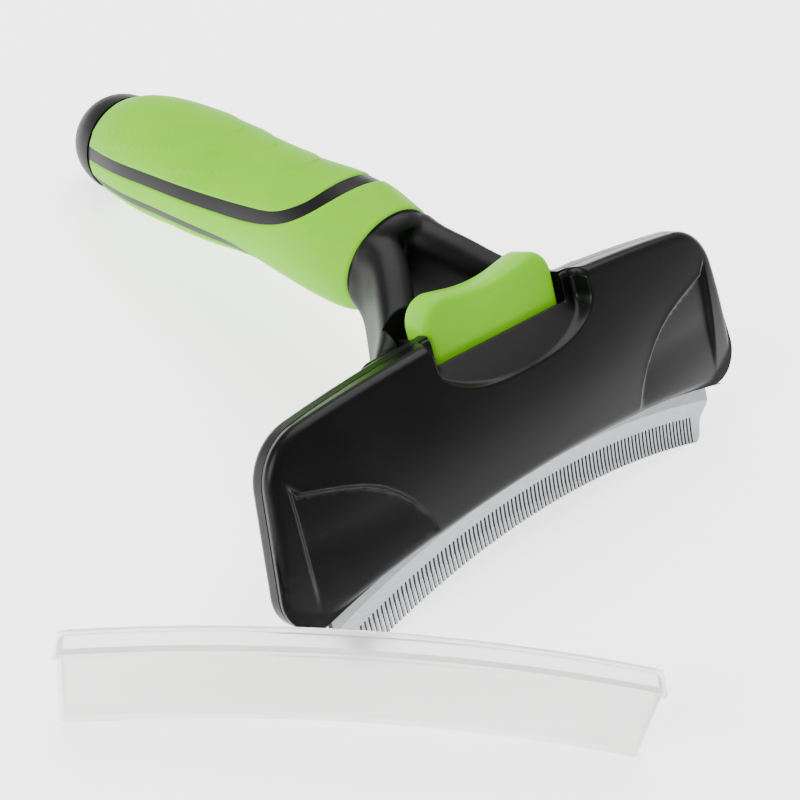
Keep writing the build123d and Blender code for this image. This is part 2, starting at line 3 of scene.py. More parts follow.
import bmesh
import bpy
import numpy as np
from mathutils import Matrix, Vector
from mathutils.geometry import delaunay_2d_cdt
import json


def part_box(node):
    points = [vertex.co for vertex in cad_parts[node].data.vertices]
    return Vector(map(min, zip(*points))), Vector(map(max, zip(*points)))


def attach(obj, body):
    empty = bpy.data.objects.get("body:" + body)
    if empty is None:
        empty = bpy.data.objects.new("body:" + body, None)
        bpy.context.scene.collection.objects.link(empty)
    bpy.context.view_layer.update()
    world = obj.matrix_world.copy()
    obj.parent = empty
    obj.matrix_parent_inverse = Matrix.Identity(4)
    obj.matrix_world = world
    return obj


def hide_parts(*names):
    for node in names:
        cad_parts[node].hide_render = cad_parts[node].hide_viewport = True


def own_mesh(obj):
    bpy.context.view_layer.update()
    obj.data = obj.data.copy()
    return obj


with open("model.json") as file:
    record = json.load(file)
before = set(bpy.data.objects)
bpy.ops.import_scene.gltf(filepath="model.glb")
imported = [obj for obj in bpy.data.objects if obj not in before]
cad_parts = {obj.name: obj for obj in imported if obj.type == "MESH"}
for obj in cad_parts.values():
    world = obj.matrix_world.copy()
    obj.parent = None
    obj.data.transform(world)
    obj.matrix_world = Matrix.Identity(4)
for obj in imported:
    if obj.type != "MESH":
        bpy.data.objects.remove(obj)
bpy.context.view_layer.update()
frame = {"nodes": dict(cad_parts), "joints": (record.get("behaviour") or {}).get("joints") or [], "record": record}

MM = 0.001

# ------------------------------------------------------------------ frame
press = [joint for joint in frame["joints"] if joint["name"] == "eject_press"][0]
Q_AXIS = -Vector(press["axis"]).normalized()
W_AXIS = Vector((0, -Q_AXIS.z, Q_AXIS.y))
# head coordinates, in millimetres: x along the blade, q up the head, w out of its front
BLADE_TOP, BLADE_BACK, BLADE_FRONT = 25.0, -1.75, -0.15
blade_low, blade_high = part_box("comb_blade")
HEAD_ORIGIN = Vector((
    (blade_low.x + blade_high.x) / 2,
    blade_high.y - MM * (BLADE_TOP * Q_AXIS.y - BLADE_BACK * Q_AXIS.z),
    blade_high.z - MM * (BLADE_TOP * Q_AXIS.z + BLADE_FRONT * Q_AXIS.y)))


def on_head(x, q, w):
    """Head coordinates in millimetres to the row frame in metres."""
    return HEAD_ORIGIN + MM * (x * Vector((1, 0, 0)) + q * Q_AXIS + w * W_AXIS)


def head_points(x, q, w):
    """The same for arrays of coordinates."""
    x, q, w = np.broadcast_arrays(x, q, w)
    points = x[..., None] * np.array((1.0, 0, 0)) + q[..., None] * np.array(Q_AXIS)
    points = points + w[..., None] * np.array(W_AXIS)
    return points * MM + np.array(HEAD_ORIGIN)


def floor_points(x, y, z):
    """Coordinates along the floor from the blade's tips, in millimetres."""
    x, y, z = np.broadcast_arrays(x, y, z)
    base = np.array((HEAD_ORIGIN.x, HEAD_ORIGIN.y, 0.0))
    return np.stack([x, y, z], axis=-1) * MM + base


# -------------------------------------------------------------- materials
def new_material(name):
    material = bpy.data.materials.new(name)
    material.use_nodes = True
    nodes = material.node_tree.nodes
    shader = nodes["Principled BSDF"]
    return material, nodes, material.node_tree.links, shader


def object_noise(nodes, links, scale, detail=3.0, stretch=(1, 1, 1)):
    coordinates = nodes.new("ShaderNodeTexCoord")
    mapping = nodes.new("ShaderNodeMapping")
    mapping.inputs["Scale"].default_value = stretch
    noise = nodes.new("ShaderNodeTexNoise")
    noise.inputs["Scale"].default_value = scale
    noise.inputs["Detail"].default_value = detail
    links.new(coordinates.outputs["Object"], mapping.inputs["Vector"])
    links.new(mapping.outputs["Vector"], noise.inputs["Vector"])
    return noise


def ramp_between(nodes, links, source, dark, light, low=0.3, high=0.7):
    ramp = nodes.new("ShaderNodeValToRGB")
    ramp.color_ramp.elements[0].position = low
    ramp.color_ramp.elements[0].color = dark
    ramp.color_ramp.elements[1].position = high
    ramp.color_ramp.elements[1].color = light
    links.new(source, ramp.inputs["Fac"])
    return ramp


def add_bump(nodes, links, shader, source, strength, distance):
    bump = nodes.new("ShaderNodeBump")
    bump.inputs["Strength"].default_value = strength
    bump.inputs["Distance"].default_value = distance
    links.new(source, bump.inputs["Height"])
    links.new(bump.outputs["Normal"], shader.inputs["Normal"])
    return bump


def moulded_plastic(name, dark, light, rough_low, rough_high, grain=0.25, shine=0.3):
    """Satin plastic with a fine spark-eroded grain and faint handling marks."""
    material, nodes, links, shader = new_material(name)
    blotch = object_noise(nodes, links, 60, 4)
    colour = ramp_between(nodes, links, blotch.outputs["Fac"], dark, light)
    links.new(colour.outputs["Color"], shader.inputs["Base Color"])
    rough = nodes.new("ShaderNodeMapRange")
    rough.inputs["To Min"].default_value = rough_low
    rough.inputs["To Max"].default_value = rough_high
    links.new(blotch.outputs["Fac"], rough.inputs["Value"])
    links.new(rough.outputs["Result"], shader.inputs["Roughness"])
    fine = object_noise(nodes, links, 2600, 2)
    add_bump(nodes, links, shader, fine.outputs["Fac"], grain, 0.00006)
    shader.inputs["Specular IOR Level"].default_value = shine
    return material


def painted_wall_shade(nodes, links, tone, shade):
    """Painted shade: walls that face along the blade, the slot walls between the teeth, are painted near black to
    stand in for the shadow that fills the slots.
    """
    place = nodes.new("ShaderNodeTexCoord")
    split = nodes.new("ShaderNodeSeparateXYZ")
    links.new(place.outputs["Normal"], split.inputs["Vector"])
    size = nodes.new("ShaderNodeMath")
    size.operation = "ABSOLUTE"
    links.new(split.outputs["X"], size.inputs[0])
    share = nodes.new("ShaderNodeMapRange")
    share.inputs["From Min"].default_value = 0.6
    share.inputs["From Max"].default_value = 0.9
    links.new(size.outputs["Value"], share.inputs["Value"])
    mix = nodes.new("ShaderNodeMix")
    mix.data_type = "RGBA"
    links.new(share.outputs["Result"], mix.inputs[0])
    links.new(tone, mix.inputs[6])
    mix.inputs[7].default_value = shade
    return mix.outputs[2]


def ground_steel(name, dark, light, rough_low, rough_high, stretch, wall_shade=None):
    material, nodes, links, shader = new_material(name)
    streak = object_noise(nodes, links, 500, 4, stretch)
    colour = ramp_between(nodes, links, streak.outputs["Fac"], dark, light)
    tone = colour.outputs["Color"]
    # painted shade on the slot walls, not a colour the steel has
    if wall_shade:
        tone = painted_wall_shade(nodes, links, tone, wall_shade)
    links.new(tone, shader.inputs["Base Color"])
    rough = nodes.new("ShaderNodeMapRange")
    rough.inputs["To Min"].default_value = rough_low
    rough.inputs["To Max"].default_value = rough_high
    links.new(streak.outputs["Fac"], rough.inputs["Value"])
    links.new(rough.outputs["Result"], shader.inputs["Roughness"])
    add_bump(nodes, links, shader, streak.outputs["Fac"], 0.15, 0.00003)
    shader.inputs["Metallic"].default_value = 1.0
    return material


BLACK = moulded_plastic(
    "black_plastic", (0.0012, 0.0012, 0.0013, 1), (0.0028, 0.0028, 0.0030, 1), 0.26, 0.34,
    0.2, 0.14)
CORE_BLACK = moulded_plastic(
    "core_plastic", (0.0014, 0.0014, 0.0016, 1), (0.0034, 0.0034, 0.0036, 1), 0.40, 0.50,
    0.2, 0.16)
GREEN_SOFT = moulded_plastic(
    "green_rubber", (0.130, 0.425, 0.0001, 1), (0.156, 0.480, 0.0002, 1), 0.48, 0.60,
    0.4, 0.10)
GREEN_HARD = moulded_plastic(
    "green_plastic", (0.145, 0.470, 0.0001, 1), (0.170, 0.520, 0.0002, 1), 0.34, 0.44,
    0.2, 0.16)
# blade steel: its last colour is painted shade for the walls of the tooth slots
BLADE_STEEL = ground_steel(
    "blade_steel", (0.26, 0.285, 0.30, 1), (0.36, 0.39, 0.405, 1), 0.36, 0.48, (1, 12, 12),
    (0.006, 0.006, 0.007, 1))
SCREW_STEEL = ground_steel(
    "screw_steel", (0.40, 0.41, 0.42, 1), (0.55, 0.56, 0.57, 1), 0.25, 0.40, (1, 1, 1))
BRASS = ground_steel(
    "insert_brass", (0.60, 0.42, 0.16, 1), (0.75, 0.56, 0.25, 1), 0.25, 0.4, (1, 1, 1))


def guard_plastic():
    material, nodes, links, shader = new_material("guard_plastic")
    blotch = object_noise(nodes, links, 40, 3)
    colour = ramp_between(
        nodes, links, blotch.outputs["Fac"], (0.94, 0.955, 0.93, 1), (0.98, 0.985, 0.97, 1))
    links.new(colour.outputs["Color"], shader.inputs["Base Color"])
    shader.inputs["Roughness"].default_value = 0.32
    shader.inputs["Transmission Weight"].default_value = 0.85
    shader.inputs["IOR"].default_value = 1.2
    return material


GUARD = guard_plastic()

SLOT_LOOKS = {
    "core_black": CORE_BLACK, "grip_green": GREEN_SOFT, "shell_black": BLACK,
    "button_green": GREEN_HARD, "blade_steel": BLADE_STEEL, "screw_steel": SCREW_STEEL,
    "carriage_plastic": CORE_BLACK, "plate_steel": BLADE_STEEL, "rivet_steel": SCREW_STEEL,
    "spring_steel": SCREW_STEEL, "pin_steel": SCREW_STEEL, "insert_brass": BRASS,
    "guard_clear": GUARD,
}
for part in frame["record"]["subparts"]:
    shape = frame["nodes"][part["node"]]
    for index in range(len(shape.material_slots)):
        shape.material_slots[index].material = SLOT_LOOKS[part["material_slot"]]


# ---------------------------------------------------------- mesh building
def add_piece(name, points, faces, material, body, replaced=()):
    """A smooth-shaded mesh that rides one body and may stand in for CAD nodes."""
    mesh = bpy.data.meshes.new(name)
    mesh.from_pydata([tuple(p) for p in points], [], [tuple(f) for f in faces])
    mesh.validate()
    mesh.polygons.foreach_set("use_smooth", [True] * len(mesh.polygons))
    mesh.materials.append(material)
    piece = bpy.data.objects.new(name, mesh)
    bpy.context.scene.collection.objects.link(piece)
    weld(piece)
    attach(piece, body)
    if replaced:
        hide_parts(*replaced)
    return piece


WELD_GAP = 2e-6           # metres


def weld(piece):
    """Joins points that meet and turns every face outward."""
    shape = bmesh.new()
    shape.from_mesh(piece.data)
    bmesh.ops.remove_doubles(shape, verts=shape.verts, dist=WELD_GAP)
    bmesh.ops.recalc_face_normals(shape, faces=shape.faces)
    shape.to_mesh(piece.data)
    shape.free()


def distance_to(points, line, closed=True):
    """Distance from each point to a polyline in the plane."""
    ends = np.roll(line, -1, axis=0) if closed else line[1:]
    starts = line if closed else line[:-1]
    best = np.full(len(points), np.inf)
    for a, b in zip(starts, ends):
        run = b - a
        length = run @ run
        if length < 1e-12:
            continue
        share = np.clip(((points - a) @ run) / length, 0, 1)
        gap = points - a - share[:, None] * run
        best = np.minimum(best, np.sqrt((gap ** 2).sum(axis=1)))
    return best


def inside(points, polygon):
    """Which points lie in a closed polygon, by crossing count."""
    x, y = points[:, 0], points[:, 1]
    odd = np.zeros(len(points), bool)
    for (x0, y0), (x1, y1) in zip(polygon, np.roll(polygon, -1, axis=0)):
        if y0 == y1:
            continue
        crosses = (y0 > y) != (y1 > y)
        odd ^= crosses & (x < (x1 - x0) * (y - y0) / (y1 - y0) + x0)
    return odd


def resample(points, spacing, closed=True):
    """Even steps along a polyline, with its corners kept."""
    points = [np.array(p, float) for p in points]
    if closed:
        points = points + [points[0]]
    out = []
    for a, b in zip(points, points[1:]):
        count = max(1, int(round(np.linalg.norm(b - a) / spacing)))
        for step in range(count):
            out.append(a + (b - a) * step / count)
    if not closed:
        out.append(points[-1])
    return np.array(out)


def rounded_corners(corners, radii, steps=10):
    """Polygon with each corner replaced by an arc of its own radius."""
    out = []
    count = len(corners)
    for index, radius in enumerate(radii):
        p = np.array(corners[index], float)
        if radius == 0:
            out.append(p)
            continue
        a = np.array(corners[index - 1], float) - p
        b = np.array(corners[(index + 1) % count], float) - p
        a, b = a / np.linalg.norm(a), b / np.linalg.norm(b)
        half = math.acos(np.clip(a @ b, -1, 1)) / 2
        reach = radius / math.tan(half)
        centre = p + (a + b) / np.linalg.norm(a + b) * radius / math.sin(half)
        start, end = p + a * reach - centre, p + b * reach - centre
        sweep = math.acos(np.clip(start @ end / radius ** 2, -1, 1))
        for step in range(steps + 1):
            share = step / steps
            mix = math.sin((1 - share) * sweep) * start + math.sin(share * sweep) * end
            out.append(centre + mix / math.sin(sweep))
    return np.array(out)


def beside(line, offset):
    """A polyline moved sideways by an offset."""
    run = np.gradient(line, axis=0)
    normals = np.stack([-run[:, 1], run[:, 0]], axis=1)
    return line + offset * normals / (np.linalg.norm(normals, axis=1)[:, None] + 1e-12)


ROW_RISE = 0.87           # height of a row of even triangles, per side length
EDGE_CLEAR = 0.55         # gap from the last band to the grid, per side length
BAND_SHARE = 0.93         # a band point nearer the edge than this share is dropped
GUIDE_CLEAR, GUIDE_TO_GRID = 0.1, 0.3


def even_grid(outline, spacing, margin):
    """Points of an even triangular grid inside an outline, clear of its edge."""
    low, high = outline.min(axis=0), outline.max(axis=0)
    rows = []
    across = np.arange(low[0], high[0], spacing)
    for index, y in enumerate(np.arange(low[1], high[1], spacing * ROW_RISE)):
        shift = spacing / 2 * (index % 2)
        rows.append(np.stack([across + shift, np.full(len(across), y)], axis=1))
    grid = np.concatenate(rows)
    grid = grid[inside(grid, outline)]
    return grid[distance_to(grid, outline) > margin]


def fill_outline(outline, spacing, bands, guides=()):
    """Triangles inside an outline, with rows of points along its edge and its guides."""
    grid = even_grid(outline, spacing, bands[-1] + spacing * EDGE_CLEAR)
    after = np.roll(outline, -1, axis=0) - np.roll(outline, 1, axis=0)
    normals = np.stack([-after[:, 1], after[:, 0]], axis=1)
    normals /= np.linalg.norm(normals, axis=1)[:, None] + 1e-12
    near = [outline]
    for band in bands:
        for sign in (1, -1):
            row = outline + sign * band * normals
            row = row[inside(row, outline)]
            row = row[distance_to(row, outline) > band * BAND_SHARE]
            near.append(row)
    edge = np.concatenate(near)
    for line, offsets in guides:
        rows = np.concatenate([beside(line, offset) for offset in offsets])
        rows = rows[inside(rows, outline)]
        rows = rows[distance_to(rows, outline) > bands[-1] + GUIDE_CLEAR]
        edge = np.concatenate([edge, rows])
        grid = grid[distance_to(grid, line, closed=False) > max(offsets) + GUIDE_TO_GRID]
    points = np.concatenate([edge, grid])
    count = len(outline)
    flat = [Vector(p) for p in points]
    result = delaunay_2d_cdt(flat, [], [list(range(count))], 1, 1e-5)
    return np.array([tuple(v) for v in result[0]]), [list(f) for f in result[2]]


def boundary_loop(faces):
    """Directed edges that belong to one face only."""
    seen = {}
    for face in faces:
        for a, b in zip(face, face[1:] + face[:1]):
            if (b, a) in seen:
                del seen[(b, a)]
            else:
                seen[(a, b)] = True
    return list(seen)


def closed_shell(top, bottom, faces, seam=()):
    """Points and faces of a solid between two matching sheets."""
    count = len(top)
    points = np.concatenate([top, bottom])
    solid = [tuple(f) for f in faces]
    solid += [tuple(count + v for v in reversed(f)) for f in faces]
    for a, b in boundary_loop(faces):
        if not (a in seam and b in seam):
            solid.append((b, a, count + a, count + b))
    return points, solid


def smooth_step(value):
    """Soft change from 0 to 1 as the value goes from 0 to 1."""
    value = np.clip(value, 0, 1)
    return value * value * (3 - 2 * value)


def roll_off(distance, radius):
    """Drop of a quarter-round edge at a distance in from the edge."""
    inner = np.clip(radius - distance, 0, radius)
    return radius - np.sqrt(np.maximum(radius ** 2 - inner ** 2, 0))


def arc_height(x, radius, middle):
    """Height at x of an arc that is highest, at middle, over x = 0."""
    return middle - (radius - np.sqrt(radius ** 2 - x ** 2))


# ------------------------------------------------------------------- head
TOP_MID, SHOULDER, SHOULDER_ROUND = 52.4, (59.6, 47.7), 11.0
TOP_FALL = TOP_MID - SHOULDER[1]
TOP_RADIUS = (SHOULDER[0] ** 2 / TOP_FALL + TOP_FALL) / 2
FOOT, FOOT_ROUND = (65.2, 9.7), 7.0
LIP_RADIUS, LIP_MID = 252.0, 18.2
NOTCH_HALF, DISH_LINE, DISH_HALF, DISH_DROP = 17.8, 47.0, 21.0, 8.2
FRONT_MID, BARREL_RADIUS, CROWN_RADIUS, CROWN_Q = 6.0, 600.0, 120.0, 35.0
EDGE_ROUND = 1.7
TOP_COUNT, LIP_COUNT = 41, 61
CORNER_REACH, CORNER_STEPS = 0.85, 14
MESH_STEP, LINE_STEP = 0.8, 0.5
UPPER_HALF = 40.0         # above this an outline point belongs to the top edge


def head_outline():
    """Top arc and lip arc of the head in its own plane, clockwise."""
    across = np.linspace(-SHOULDER[0], SHOULDER[0], TOP_COUNT)
    top = np.stack([across, arc_height(across, TOP_RADIUS, TOP_MID)], axis=1)
    across = np.linspace(FOOT[0], -FOOT[0], LIP_COUNT)
    lip = np.stack([across, arc_height(across, LIP_RADIUS, LIP_MID)], axis=1)
    return np.concatenate([top, lip])


def soften(ring, sharp, radius_of):
    """Rounds the named corners, trimming the short runs beside them."""
    out = []
    count = len(ring)

    def reach_of(corner):
        return radius_of[corner] * CORNER_REACH

    for index in range(count):
        near = [s for s in sharp if np.linalg.norm(ring[index] - ring[s]) < reach_of(s)]
        if index in sharp:
            radius = radius_of[index]
            back = index
            while np.linalg.norm(ring[back % count] - ring[index]) < reach_of(index):
                back -= 1
            ahead = index
            while np.linalg.norm(ring[ahead % count] - ring[index]) < reach_of(index):
                ahead += 1
            three = [ring[back % count], ring[index], ring[ahead % count]]
            arc = rounded_corners(three, [0, radius, 0], CORNER_STEPS)
            out.extend(arc[1:-1])
        elif not near:
            out.append(ring[index])
    return np.array(out)


def cover_outline():
    """Outline of the head with its four corners rounded."""
    ring = head_outline()
    radius_of = {0: SHOULDER_ROUND, TOP_COUNT - 1: SHOULDER_ROUND,
                 TOP_COUNT: FOOT_ROUND, len(ring) - 1: FOOT_ROUND}
    return soften(ring, list(radius_of), radius_of)


def with_notch(outline):
    """Cuts the button's opening out of the top edge."""
    edge = arc_height(np.array([NOTCH_HALF]), TOP_RADIUS, TOP_MID)[0]
    low = DISH_LINE - 1
    cut = []
    done = False
    for p in outline:
        if p[1] > UPPER_HALF and abs(p[0]) <= NOTCH_HALF:
            if not done:
                cut += [(-NOTCH_HALF, edge), (-NOTCH_HALF, low), (NOTCH_HALF, low),
                        (NOTCH_HALF, edge)]
                done = True
            continue
        cut.append(tuple(p))
    return np.array(cut)


# crease of a wing recess, from the side of the head inward and down to the lip
WING_CURVE = np.array([
    (56.9, 40.0), (55.3, 37.9), (50.5, 36.6), (46.5, 35.4), (42.5, 33.9), (39.0, 32.0),
    (36.0, 29.6), (33.0, 26.4), (30.6, 22.6), (29.0, 18.5), (28.2, 14.0),
])
WING_DEPTH, WING_OUTER = 1.15, 57.0
WING_CLOSING = [(60.0, 8.0), (60.0, 40.0)]
WING_FOOT, WING_FADE = 13.0, 15.0
CREASE_WIDTH, OUTER_WIDTH, OUTER_SPILL = 0.9, 1.3, 0.6
BEAD_HEIGHT, BEAD_WIDTH = 0.05, 0.8
LIP_WALL, LIP_WALL_TOP, LIP_WALL_FADE = 1.55, 34.0, 8.0
SCOOP_TOP, SCOOP_FLOOR, SCOOP_EDGE, SCOOP_LEAD, SCOOP_LOW = 54.0, 0.6, 0.9, 0.3, 30.0


def scoop_line():
    """Edge of the thumb scoop: half an oval with straight sides above it."""
    turn = np.linspace(0, math.pi, 73)
    arc = np.stack([DISH_HALF * np.cos(turn), DISH_LINE - DISH_DROP * np.sin(turn)], axis=1)
    line = np.concatenate([[(DISH_HALF, SCOOP_TOP)], arc, [(-DISH_HALF, SCOOP_TOP)]])
    return resample(line, LINE_STEP, closed=False)


def add_wings(w, x, q):
    """Sinks a recess at each side, with a crisp crease and a soft lower end."""
    side = np.abs(x)
    points = np.stack([side, q], axis=1)
    gap = distance_to(points, resample(WING_CURVE, LINE_STEP, closed=False), closed=False)
    within = inside(points, np.concatenate([WING_CURVE, WING_CLOSING]))
    crease = smooth_step(np.where(within, gap, 0) / CREASE_WIDTH)
    outer = smooth_step((WING_OUTER + OUTER_SPILL - side) / OUTER_WIDTH)
    fade = smooth_step((q - WING_FOOT) / WING_FADE)
    w = w - WING_DEPTH * crease * outer * fade
    return w + BEAD_HEIGHT * np.exp(-(gap / BEAD_WIDTH) ** 2) * np.where(within, 0, 1) * fade


def add_scoop(w, x, q):
    """Cuts the thumb scoop: a ramp down to a flat floor behind the button."""
    floor = np.maximum((DISH_LINE - q) * FRONT_MID / DISH_DROP, SCOOP_FLOOR)
    oval = np.hypot(x / DISH_HALF, np.clip(DISH_LINE - q, 0, None) / DISH_DROP)
    gap = distance_to(np.stack([x, q], axis=1), scoop_line(), closed=False)
    in_scoop = np.where(q < DISH_LINE, oval < 1, np.abs(x) < DISH_HALF)
    sink = smooth_step(np.where(in_scoop, gap, -gap) / SCOOP_EDGE + SCOOP_LEAD)
    scooped = w + (np.minimum(floor, w) - w) * sink
    return np.where(q > SCOOP_LOW, scooped, w)


def cover_height(x, q, outer_distance):
    """Front surface of the cover: crown, scoop, two wings and rolled rim."""
    w = arc_height(x, BARREL_RADIUS, FRONT_MID)
    w = w - (CROWN_RADIUS - np.sqrt(CROWN_RADIUS ** 2 - (q - CROWN_Q) ** 2))
    w = add_scoop(add_wings(w, x, q), x, q)
    w = w - roll_off(outer_distance, EDGE_ROUND)
    lip_wall = LIP_WALL * smooth_step((LIP_WALL_TOP - q) / LIP_WALL_FADE)
    return np.where(q < LIP_WALL_TOP, np.maximum(w, lip_wall), w)


RIM_BANDS = [0.1, 0.25, 0.5, 0.8, 1.15, 1.6]
GUIDE_OFFSETS = (-0.9, -0.6, -0.35, -0.15, 0.05, 0.25, 0.5, 0.8)
# room behind the cover: half width, lower and upper q, depth from the seam
PLATE_ROOM = (55.4, 0.0, 31.5, 1.15)
MIDDLE_ROOM = (17.8, 24.0, 41.6, 1.15)
RIVET_ROOM = (17.0, 13.0, 40.6, 2.85)
SEAM_GAP, LEAST_SKIN = 0.3, 0.3


def cover_guides():
    """Lines that the mesh follows: the scoop, both creases, both wing edges."""
    wing = resample(WING_CURVE, LINE_STEP, closed=False)
    edge = resample([(WING_OUTER, 11.0), (WING_OUTER, 39.0)], LINE_STEP, closed=False)
    guides = [(scoop_line(), GUIDE_OFFSETS)]
    for side in (1, -1):
        guides.append((wing * (side, 1), GUIDE_OFFSETS))
        guides.append((edge * (side, 1), GUIDE_OFFSETS))
    return guides


def cover_underside(x, q, w):
    """Back of the cover, hollowed for the plate and its rivets."""
    under = np.full(len(x), SEAM_GAP)
    for half, low, high, depth in (PLATE_ROOM, MIDDLE_ROOM, RIVET_ROOM):
        under = np.where((np.abs(x) < half) & (q > low) & (q < high), depth, under)
    return np.minimum(under, w - LEAST_SKIN)


def make_cover():
    """Front cover as one skin, cut away for the button and hollow behind."""
    rim = resample(cover_outline(), MESH_STEP)
    whole = resample(with_notch(cover_outline()), MESH_STEP)
    flat, faces = fill_outline(whole, MESH_STEP, RIM_BANDS, cover_guides())
    x, q = flat[:, 0], flat[:, 1]
    w = cover_height(x, q, distance_to(flat, rim))
    under = cover_underside(x, q, w)
    points, solid = closed_shell(head_points(x, q, w), head_points(x, q, under), faces)
    add_piece("cover_skin", points, solid, BLACK, "tool", ["front_cover"])


make_cover()


# ----------------------------------------------------------------- button
BUTTON_HALF, BUTTON_BACK, BUTTON_FRONT, BUTTON_ROUND = 17.3, -7.7, -0.5, 1.7


BUTTON_LOW, BUTTON_PEAK, BUTTON_SADDLE = 44.0, 58.9, 55.7
PEAK_ROUND, SADDLE_ROUND, BUTTON_ARC_STEPS = 5.4, 34, 16
BUTTON_STEP, BUTTON_BANDS = 0.6, [0.08, 0.25, 0.5, 0.8, 1.2, 1.7, 2.4]
THUMB_DIP, THUMB_Q, THUMB_HALF, THUMB_RISE = 0.25, 51, 13, 6


def button_outline():
    """Saddle profile of the button, open along the bottom."""
    corners = [(-BUTTON_HALF, BUTTON_LOW), (-BUTTON_HALF, BUTTON_PEAK), (0, BUTTON_SADDLE),
               (BUTTON_HALF, BUTTON_PEAK), (BUTTON_HALF, BUTTON_LOW)]
    radii = [0, PEAK_ROUND, SADDLE_ROUND, PEAK_ROUND, 0]
    return rounded_corners(corners, radii, BUTTON_ARC_STEPS)


def make_button():
    """Saddle-topped thumb button, rolled over along its free edges."""
    flat, faces = fill_outline(resample(button_outline(), LINE_STEP), BUTTON_STEP, BUTTON_BANDS)
    free = resample(button_outline(), LINE_STEP, closed=False)
    drop = roll_off(distance_to(flat, free, closed=False), BUTTON_ROUND)
    x, q = flat[:, 0], flat[:, 1]
    dip = THUMB_DIP * smooth_step(1 - np.hypot(x / THUMB_HALF, (q - THUMB_Q) / THUMB_RISE))
    front = head_points(x, q, BUTTON_FRONT - drop - dip)
    back = head_points(x, q, BUTTON_BACK + drop)
    points, solid = closed_shell(front, back, faces)
    add_piece("button_body", points, solid, GREEN_HARD, "ejector", ["push_button"])


make_button()


# ------------------------------------------------------------------- grip
# distance back, height of the axis above the floor, radius
STATIONS = np.array([
    (55.4, 37.5, 11.6), (58.7, 36.6, 12.7), (66.6, 35.2, 13.8), (80.6, 32.0, 13.3),
    (94.5, 28.9, 13.1), (108.5, 25.1, 14.1), (121.4, 21.8, 14.5), (134.3, 17.95, 14.3),
    (148.3, 13.4, 12.2),
])
CAP_SLOPE = math.radians(9.0)
LEAN_START, LEAN_TURN, LEAN_END = 6, 138.0, 10
PAD_END = 147.7
# edges of the soft zones: distance back, height above the axis
TOP_EDGE = np.array([
    (69.6, 16.0), (71.4, 12.2), (73.6, 9.9), (78.0, 7.3), (86.0, 5.2),
    (98.0, 3.9), (113.0, 3.6), (131.0, 3.3), (154.0, 3.3),
])
SIDE_UPPER_EDGE = np.array([
    (65.5, 16.0), (68.0, 12.2), (71.6, 8.5), (75.8, 5.8), (80.0, 4.0), (87.0, 2.1),
    (97.0, 0.9), (113.0, 0.7), (131.0, 0.4), (154.0, 0.3),
])
SIDE_LOWER_EDGE = np.array([
    (75.0, -16.0), (80.5, -11.2), (87.5, -8.3), (98.0, -6.7), (109.0, -5.8),
    (127.0, -5.6), (154.0, -4.9),
])
BOTTOM_EDGE = np.array([
    (80.5, -17.0), (86.0, -12.6), (92.0, -10.2), (99.0, -9.0), (110.0, -8.1),
    (128.0, -8.0), (154.0, -7.4),
])


def spline_through(knots, values):
    """Natural cubic spline as a function, solved once for its slopes."""
    count = len(knots)
    steps = np.diff(knots)
    system = np.zeros((count, count))
    right = np.zeros(count)
    system[0, 0] = system[-1, -1] = 1
    for k in range(1, count - 1):
        system[k, k - 1:k + 2] = steps[k - 1], 2 * (steps[k - 1] + steps[k]), steps[k]
        jump = (values[k + 1] - values[k]) / steps[k]
        right[k] = 6 * (jump - (values[k] - values[k - 1]) / steps[k - 1])
    bend = np.linalg.solve(system, right)

    def evaluate(at):
        at = np.asarray(at, float)
        k = np.clip(np.searchsorted(knots, at) - 1, 0, count - 2)
        h = steps[k]
        a, b = (knots[k + 1] - at) / h, (at - knots[k]) / h
        curve = ((a ** 3 - a) * bend[k] + (b ** 3 - b) * bend[k + 1]) * h * h / 6
        return a * values[k] + b * values[k + 1] + curve

    return evaluate


axis_z = spline_through(STATIONS[:, 0], STATIONS[:, 1])
axis_r = spline_through(STATIONS[:, 0], STATIONS[:, 2])


def ring_lean(y):
    """Lean of the ring plane along the handle."""
    slope = -(axis_z(y + 0.5) - axis_z(y - 0.5))
    lean = np.arctan(slope)
    start = smooth_step((y - STATIONS[0, 0]) / LEAN_START)
    end = smooth_step((y - LEAN_TURN) / LEAN_END)
    return lean * start * (1 - end) + CAP_SLOPE * end


def grip_points(y, angle, lift):
    """Point on the grip: angle from the top, lift above the skin."""
    radius = axis_r(y) + lift
    lean = ring_lean(y)
    up = radius * np.cos(angle)
    return np.stack([
        radius * np.sin(angle), y + up * np.sin(lean), axis_z(y) + up * np.cos(lean)], axis=-1)


def edge_rise(edge, y):
    """Height of a soft-zone edge above the floor at a distance back."""
    slope = (STATIONS[-1, 1] - STATIONS[-2, 1]) / (STATIONS[-1, 0] - STATIONS[-2, 0])
    level = np.interp(edge[:, 0], STATIONS[:, 0], STATIONS[:, 1])
    level += slope * np.maximum(edge[:, 0] - STATIONS[-1, 0], 0)
    return spline_through(edge[:, 0], edge[:, 1] + level)(y)


EDGE_COUNT = 220


def field(edge, sign):
    """Signed gap from an edge in the side view, positive inside the zone."""
    dense_y = np.linspace(edge[0, 0], edge[-1, 0], EDGE_COUNT)
    line = np.stack([dense_y, edge_rise(edge, dense_y)], axis=1)

    def value(points):
        flat = points[:, 1:3]
        gap = distance_to(flat, line, closed=False)
        above = flat[:, 1] > np.interp(flat[:, 0], line[:, 0], line[:, 1])
        above = np.where(flat[:, 0] < line[0, 0], edge[0, 1] < 0, above)
        return np.where(above, gap, -gap) * sign

    return value


ON_LEVEL = 1e-9


def split_face(face, values, level, crossing):
    """Parts of one triangle over and under a level, as fans of triangles."""
    high, low = [], []
    for k, v in enumerate(face):
        n = face[(k + 1) % 3]
        here, ahead = values[v] - level, values[n] - level
        if here >= -ON_LEVEL:
            high.append(v)
        if here <= ON_LEVEL:
            low.append(v)
        if here * ahead < 0 and min(abs(here), abs(ahead)) > ON_LEVEL:
            cut = crossing(v, n)
            high.append(cut)
            low.append(cut)
    return [(loop[0], loop[k], loop[k + 1])
            for loop in (high, low) for k in range(1, len(loop) - 1)]


